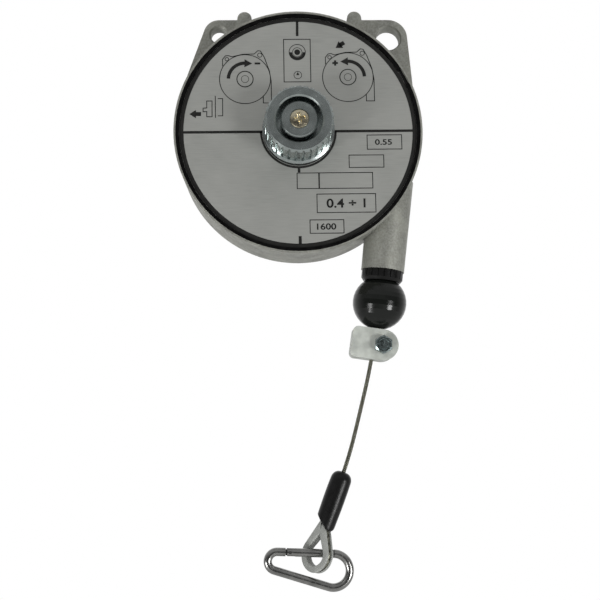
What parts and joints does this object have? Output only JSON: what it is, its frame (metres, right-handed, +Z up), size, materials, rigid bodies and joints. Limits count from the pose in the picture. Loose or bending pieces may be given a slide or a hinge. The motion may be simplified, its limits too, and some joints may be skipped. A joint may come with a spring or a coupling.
{
  "type": "tool balancer",
  "caption": "Spring balancer: a round cast housing with a pull-out ratchet knob, hung from its eye, pays out a wire rope with a ball buffer, clamp, thimble and snap hook.",
  "frame": {"origin": "centre of the main suspension eye, in the middle of its lug", "axes": "+X to the right seen from the label, +Y away from the label along the drum's axis, +Z up"},
  "size_m": [0.122, 0.0576, 0.2861],
  "materials": {
    "cast_alloy": "bare die-cast aluminium, dull and slightly warm",
    "label": "printed aluminium label, satin grey with black lines",
    "ring_black": "blackened spring steel",
    "zinc": "bright zinc plating",
    "zinc_yellow": "yellow zinc plating",
    "steel": "turned steel",
    "spring_steel": "oiled spring steel",
    "bronze": "sintered bronze",
    "drum_alloy": "machined aluminium",
    "cover_black": "moulded cover",
    "collar_plastic": "glass-filled nylon",
    "ball_plastic": "hard rubber, satin",
    "clamp_plastic": "pale natural nylon",
    "sleeve_black": "shrunk-on boot, satin",
    "rope_steel": "stranded wire rope",
    "ferrule_alloy": "pressed aluminium",
    "thimble_zinc": "dull zinc plating",
    "hook_steel": "nickel-plated steel"
  },
  "bodies": {
    "balancer": {"housing": "cast_alloy", "rear_bush": "bronze", "front_cover": "cover_black", "front_bush": "bronze", "ratchet_ring": "zinc", "label_plate": "label", "retaining_ring": "ring_black", "nozzle_collar": "collar_plastic"},
    "spindle": {"spindle": "steel", "spring_arbor": "steel", "spindle_circlip": "spring_steel", "knob_disc": "zinc", "disc_screw": "zinc_yellow"},
    "knob": {"knob": "zinc", "knob_spring": "spring_steel"},
    "drum": {"rope_drum": "drum_alloy", "drum_lid": "drum_alloy", "drum_bush": "bronze", "lid_bush": "bronze", "power_spring": "spring_steel", "rope_windings": "rope_steel"},
    "rope_end": {"rope_run": "rope_steel", "ball_buffer": "ball_plastic", "rope_clamp": "clamp_plastic", "clamp_bolt": "zinc", "clamp_nut": "zinc", "rope": "rope_steel", "ferrule": "ferrule_alloy", "sleeve": "sleeve_black", "rope_eye": "rope_steel", "thimble": "thimble_zinc"},
    "hook": {"hook_body": "hook_steel", "gate_rivet": "hook_steel"},
    "gate": {"hook_gate": "hook_steel"}
  },
  "joints": [
    {"name": "spindle_turn", "type": "hinge", "parent": "balancer", "child": "spindle", "pos_m": [-0.047, -0.016, -0.0523], "axis": [0, 1, 0], "continuous": true},
    {"name": "knob_pull", "type": "slide", "parent": "spindle", "child": "knob", "axis": [0, -1, 0], "range_m": [0, 0.0045], "stiffness_N_per_m": 2000, "springref_m": -0.002, "deforming": ["knob_spring"]},
    {"name": "drum_turn", "type": "hinge", "parent": "balancer", "child": "drum", "pos_m": [-0.047, -0.016, -0.0523], "axis": [0, 1, 0], "range_deg": [0, 1863.28], "stiffness_Nm_per_rad": 0.0018, "springref_deg": -6073.35, "deforming": ["power_spring"]},
    {"name": "rope_travel", "type": "slide", "parent": "balancer", "child": "rope_end", "axis": [-0.1219, 0, -0.9925], "range_m": [0, 1.6], "deforming": ["rope_run"]},
    {"name": "hook_swing", "type": "hinge", "parent": "rope_end", "child": "gate", "pos_m": [-0.04077, 0.00008, -0.25624], "axis": [0.9958, 0.0696, -0.0593], "range_deg": [-90, 90]},
    {"name": "hook_open", "type": "hinge", "parent": "gate", "child": "hook", "pos_m": [-0.05392, -0.00084, -0.25546], "axis": [0.0698, -0.9976, 0], "range_deg": [0, 2.5], "stiffness_Nm_per_rad": 0.05, "springref_deg": -17.19}
  ],
  "couplings": [
    {"joint": "rope_travel", "follows": "drum_turn", "m_per_rad": 0.0492}
  ]
}
